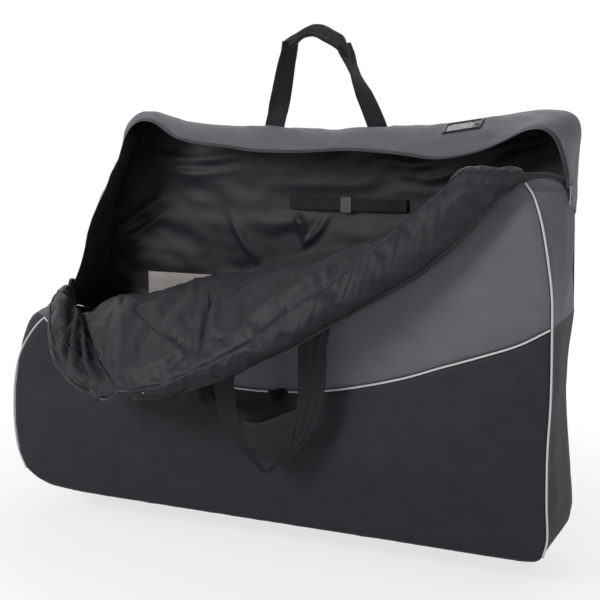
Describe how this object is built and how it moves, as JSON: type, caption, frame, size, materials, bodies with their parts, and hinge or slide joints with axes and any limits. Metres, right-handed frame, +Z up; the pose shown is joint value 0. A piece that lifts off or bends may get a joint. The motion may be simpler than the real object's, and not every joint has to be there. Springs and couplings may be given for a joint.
{
  "type": "bike travel bag",
  "caption": "Soft padded travel bag for a bicycle, with a fold-down zipped flap, carrying handles, an inner divider and an address holder.",
  "frame": {"origin": "on the base the bag stands on, under the middle of the bag's depth, 3 mm right of its middle along its length", "axes": "+X along the bag towards its right end seen from the front, +Z up, the flap opens towards -Y"},
  "size_m": [1.2943, 0.5228, 1.06],
  "materials": {
    "black_fabric": "woven nylon",
    "grey_fabric": "woven nylon",
    "grey_piping": "satin cord",
    "webbing": "woven webbing",
    "zip_tape": "knitted tape",
    "divider_fabric": "brushed",
    "stiffener": "smooth",
    "dark_metal": "dark satin",
    "black_plastic": "satin",
    "clear_window": "clear sheet",
    "card": "plain"
  },
  "bodies": {
    "shell": {"front_panel_lower": "black_fabric", "front_panel_upper": "grey_fabric", "back_panel_lower": "black_fabric", "back_panel_upper": "grey_fabric", "front_seam_piping": "grey_piping", "back_seam_piping": "grey_piping", "front_left_piping": "grey_piping", "front_right_piping": "grey_piping", "base_panel": "black_fabric", "base_board": "stiffener", "left_end_lower": "black_fabric", "right_end_lower": "black_fabric", "left_end_rear": "grey_fabric", "left_end_front": "grey_fabric", "right_end_upper": "grey_fabric", "right_end_front": "grey_fabric", "right_end_rear": "grey_fabric", "top_gusset_rear": "grey_fabric", "rear_zip_tape": "zip_tape", "wheel_strap": "webbing", "id_frame": "black_plastic", "id_window": "clear_window", "id_stud": "black_plastic", "back_anchor_left": "webbing", "back_anchor_right": "webbing"},
    "flap": {"flap_panel": "grey_fabric", "flap_right_gusset": "grey_fabric", "flap_left_piping": "grey_piping", "flap_top_piping": "grey_piping", "front_anchor_left": "webbing", "front_anchor_right": "webbing"},
    "top_band": {"top_band": "grey_fabric", "top_band_tape": "zip_tape"},
    "left_band": {"left_band": "grey_fabric", "left_band_tape": "zip_tape"},
    "back_handle": {"back_handle": "webbing", "back_grip": "webbing"},
    "front_handle": {"front_handle": "webbing"},
    "front_grip_wrap": {"front_grip_wrap": "webbing"},
    "grab_loop": {"grab_loop": "webbing"},
    "left_slider": {"left_slider": "dark_metal"},
    "left_pull": {"left_pull": "dark_metal"},
    "right_slider": {"right_slider": "dark_metal"},
    "right_pull": {"right_pull": "dark_metal"},
    "divider": {"divider": "divider_fabric"},
    "strap_buckle": {"strap_buckle": "black_plastic"},
    "id_card": {"id_card": "card"}
  },
  "joints": [
    {"name": "flap_fold", "type": "hinge", "parent": "shell", "child": "flap", "pos_m": [-0.60267, -0.125, 0.4], "axis": [-0.9449, 0, -0.3272], "range_deg": [0, 135]},
    {"name": "top_band_fold", "type": "hinge", "parent": "flap", "child": "top_band", "pos_m": [-0.25475, -0.38981, 0.24473], "axis": [-0.8172, -0.2314, -0.5279], "range_deg": [0, 140]},
    {"name": "left_band_fold", "type": "hinge", "parent": "flap", "child": "left_band", "pos_m": [-0.60337, -0.12712, 0.40201], "axis": [-0.7514, 0.5662, 0.339], "range_deg": [0, 140]},
    {"name": "back_handle_swing", "type": "hinge", "parent": "shell", "child": "back_handle", "pos_m": [0.0555, 0.12785, 0.74185], "axis": [-1, 0, 0], "range_deg": [0, 175]},
    {"name": "front_handle_swing", "type": "hinge", "parent": "flap", "child": "front_handle", "pos_m": [0.1163, -0.19911, 0.56627], "axis": [0.8172, 0.2314, 0.5279], "range_deg": [0, 122.12]},
    {"name": "front_wrap_turn", "type": "hinge", "parent": "front_handle", "child": "front_grip_wrap", "pos_m": [0.12765, -0.19917, 0.19965], "axis": [0.3159, 0.0894, 0.9446], "range_deg": [0, 100]},
    {"name": "grab_loop_swing", "type": "hinge", "parent": "shell", "child": "grab_loop", "pos_m": [-0.115, -0.1265, 0.28211], "axis": [-0.999, 0, -0.0457], "range_deg": [0, 95]},
    {"name": "left_slider_travel", "type": "slide", "parent": "shell", "child": "left_slider", "axis": [0.3041, 0, 0.9526], "range_m": [0, 0.3]},
    {"name": "left_pull_turn", "type": "hinge", "parent": "left_slider", "child": "left_pull", "pos_m": [-0.57578, -0.035, 0.49279], "axis": [0, 1, 0], "range_deg": [0, 170]},
    {"name": "right_slider_travel", "type": "slide", "parent": "shell", "child": "right_slider", "axis": [0.0439, 0, 0.999], "range_m": [0, 0.045]},
    {"name": "right_pull_turn", "type": "hinge", "parent": "right_slider", "child": "right_pull", "pos_m": [0.61088, -0.035, 0.75189], "axis": [0, -1, 0], "range_deg": [0, 170]},
    {"name": "divider_lift", "type": "slide", "parent": "shell", "child": "divider", "axis": [0, 0, 1], "range_m": [0, 0.25]},
    {"name": "buckle_travel", "type": "slide", "parent": "shell", "child": "strap_buckle", "axis": [1, 0, 0], "range_m": [-0.06, 0.06]},
    {"name": "card_travel", "type": "slide", "parent": "shell", "child": "id_card", "axis": [-0.9896, 0, -0.1438], "range_m": [0, 0.01]}
  ],
  "couplings": [
    {"joint": "top_band_fold", "follows": "flap_fold", "ratio": 1.037},
    {"joint": "left_band_fold", "follows": "flap_fold", "ratio": 1.037},
    {"joint": "front_handle_swing", "follows": "flap_fold", "ratio": 0.9046}
  ]
}
